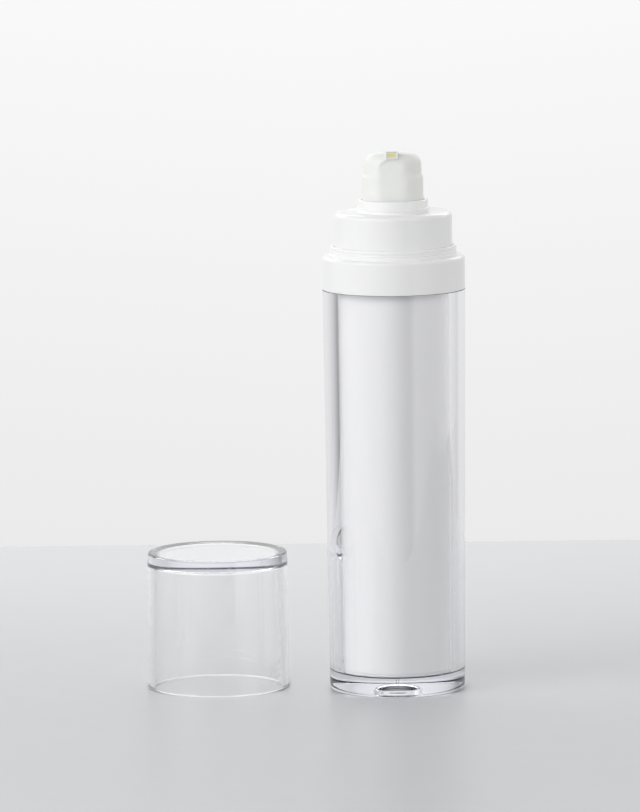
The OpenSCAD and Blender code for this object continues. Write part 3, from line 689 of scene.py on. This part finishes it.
insert_w = NOZZLE_W - 2 * NOZZLE_WALL - INSERT_PLAY
insert_h = NOZZLE_H - 2 * NOZZLE_WALL - INSERT_PLAY
insert_face = NOZZLE_FACE - INSERT_BACK
lips_back = insert_face - INSERT_LIP_T
outlet = block(
    "outlet_insert_sleeve", insert_w, insert_h, insert_face - INSERT_L, insert_face, rounding=0.15)
cut(outlet, block(
    "duct", insert_w - 2 * INSERT_WALL, insert_h - 2 * INSERT_WALL,
    insert_face - INSERT_L - TOOL_PAST, lips_back, rounding=0.1))
cut(outlet, block(
    "slit", insert_w - 2 * INSERT_WALL, SLIT_H, lips_back - SLIT_PAST, insert_face + TOOL_PAST,
    rounding=0.02))
smooth(outlet)
natural_polyethylene = moulded(
    "moulded_natural_polyethylene", "#F2EBBB", 0.45, ior=1.51, flow=0.12,
    Subsurface_Weight=0.3, Subsurface_Scale=0.001)
dressed(outlet, natural_polyethylene)
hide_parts("outlet_insert")
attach(outlet, "pump_head")


# Cap: stands beside the bottle; in use it slips over the beads and stands on the shoulder.
# Injection-moulded clear acrylic with a thick top, whose edge gathers the light.
cap_low, cap_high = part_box("cap")
CAP_MIDDLE = ((cap_low.x + cap_high.x) / 2 / MM, (cap_low.y + cap_high.y) / 2 / MM)
CAP_H = cap_high.z / MM
CAP_R = (cap_high.x - cap_low.x) / 2 / MM
CAP_TOP_R = CAP_R - 0.42
CAP_EDGE_R = CAP_R - 0.18
CAP_EDGE_Z = CAP_H - 3.5
CAP_CEILING_Z = CAP_H - 3.4
CAP_BORE_R = 18.2
CAP_TOP_BORE_R = 17.18

cap = spun("clear_cap_moulding", [
    (0, CAP_CEILING_Z, 0), (CAP_TOP_BORE_R, CAP_CEILING_Z, 0.8), (CAP_BORE_R, 0, 0.3), (CAP_R, 0, 0.5),
    (CAP_EDGE_R, CAP_EDGE_Z, 0), (CAP_TOP_R, CAP_H, 0.5), (0, CAP_H, 0)],
    steps=CLEAR_STEPS, middle=CAP_MIDDLE)
dressed(cap, moulded_acrylic("moulded_clear_acrylic_of_cap", 0.003))
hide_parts("cap")
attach(cap, "loose_cap")


# Studio: a pale satin table top and a wide softly lit backdrop beyond it. Soft boxes stand on the
# left and front left and over the table's far part, and the room's right side is pale, which the
# clear wall mirrors.
TABLE_FRONT, TABLE_BACK, TABLE_HALF, TABLE_T = -240, 273, 500, 20
TABLE_ROUND = 6
# The bottle and cap touch the table at few points, so a film of air stays under their feet
AIR = 0.03
bpy.ops.object.select_all(action="DESELECT")
bpy.ops.mesh.primitive_cube_add(
    size=1, location=(0, (TABLE_FRONT + TABLE_BACK) / 2 * MM, (-TABLE_T / 2 - AIR) * MM))
table_top = bpy.context.object
table_top.name = "table_top"
table_top.scale = (2 * TABLE_HALF * MM, (TABLE_BACK - TABLE_FRONT) * MM, TABLE_T * MM)
bpy.ops.object.transform_apply(location=True, rotation=False, scale=True)
table_round = table_top.modifiers.new("edge", "BEVEL")
table_round.width = TABLE_ROUND * MM
table_round.segments = 6
bpy.ops.object.modifier_apply(modifier=table_round.name)
smooth(table_top)
dressed(table_top, moulded("cast_satin_acrylic_sheet", "#C2C3C5", 0.35))


def softbox(name, at, aim, size, glow):
    """A soft box of even glow that no camera sees but every gloss mirrors"""
    lamp = bpy.data.lights.new(name, "AREA")
    lamp.shape = "RECTANGLE"
    lamp.size, lamp.size_y = size[0] * MM, size[1] * MM
    lamp.energy = glow * math.pi * lamp.size * lamp.size_y
    holder = bpy.data.objects.new(name, lamp)
    holder.location = Vector(at) * MM
    holder.rotation_euler = (Vector(aim) - Vector(at)).to_track_quat("-Z", "Y").to_euler()
    holder.visible_camera = False
    bpy.context.scene.collection.objects.link(holder)


softbox("left_box", at=(-640, -430, 520), aim=(0, 0, 80), size=(520, 900), glow=1.95)
softbox("front_box", at=(-360, -980, 643), aim=(0, 0, 80), size=(500, 600), glow=1.4)
softbox("back_box", at=(-67, 300, 290), aim=(-67, 250, 0), size=(900, 160), glow=2.5)

# How bright the backdrop is at each angle round the bottle from straight behind it, to the right
BACKDROP = [
    (-180, 0.6), (-165, 0.9), (-150, 1.1), (-90, 0.95), (-60, 0.6), (-58, 0.33), (-51, 0.41),
    (-47, 0.51), (-42, 0.62), (-38, 0.70), (-33, 0.79), (-27, 0.86), (-15, 0.96), (0, 1.0), (15, 0.96),
    (27, 0.88), (33, 0.75), (35, 0.75), (58, 0.9), (66, 1.15), (148, 1.15), (149, 0.02), (160, 0.02),
    (180, 0.6)]
# The backdrop's glow at two heights, and the ceiling's
BACKDROP_LOW, BACKDROP_HIGH = (-0.152, 0.832), (-0.068, 0.955)
CEILING = 0.3

world = bpy.data.worlds.new("studio")
bpy.context.scene.world = world
world.use_nodes = True
sky = world.node_tree
seen_way = add_node(sky, "ShaderNodeTexCoord").outputs["Generated"]
way = add_node(sky, "ShaderNodeSeparateXYZ", {"Vector": seen_way})
side = add_node(sky, "ShaderNodeMath", {0: way.outputs["X"], 1: way.outputs["Y"]}, operation="ARCTAN2")
turned = add_node(sky, "ShaderNodeMapRange", {
    "Value": side.outputs[0], "From Min": -math.pi, "From Max": math.pi})
across = add_node(sky, "ShaderNodeValToRGB", {"Fac": turned.outputs["Result"]})
ramp = across.color_ramp
while len(ramp.elements) < len(BACKDROP):
    ramp.elements.new(0.5)
for element, (angle, glow) in zip(ramp.elements, BACKDROP):
    element.position = (angle + 180) / 360
    element.color = (glow, glow, glow, 1)
rise = add_node(sky, "ShaderNodeMapRange", {
    "Value": way.outputs["Z"], "From Min": BACKDROP_LOW[0], "To Min": BACKDROP_LOW[1],
    "From Max": BACKDROP_HIGH[0], "To Max": BACKDROP_HIGH[1]})
wall = add_node(sky, "ShaderNodeMath", {
    0: across.outputs["Color"], 1: rise.outputs["Result"]}, operation="MULTIPLY")
overhead = add_node(sky, "ShaderNodeMapRange", {
    "Value": way.outputs["Z"], "From Min": 0.6, "From Max": 0.85})
room = add_node(sky, "ShaderNodeMix", {
    "Factor": overhead.outputs["Result"], "A": wall.outputs[0], "B": CEILING}, data_type="FLOAT")
sky.links.new(room.outputs[0], sky.nodes["Background"].inputs["Color"])
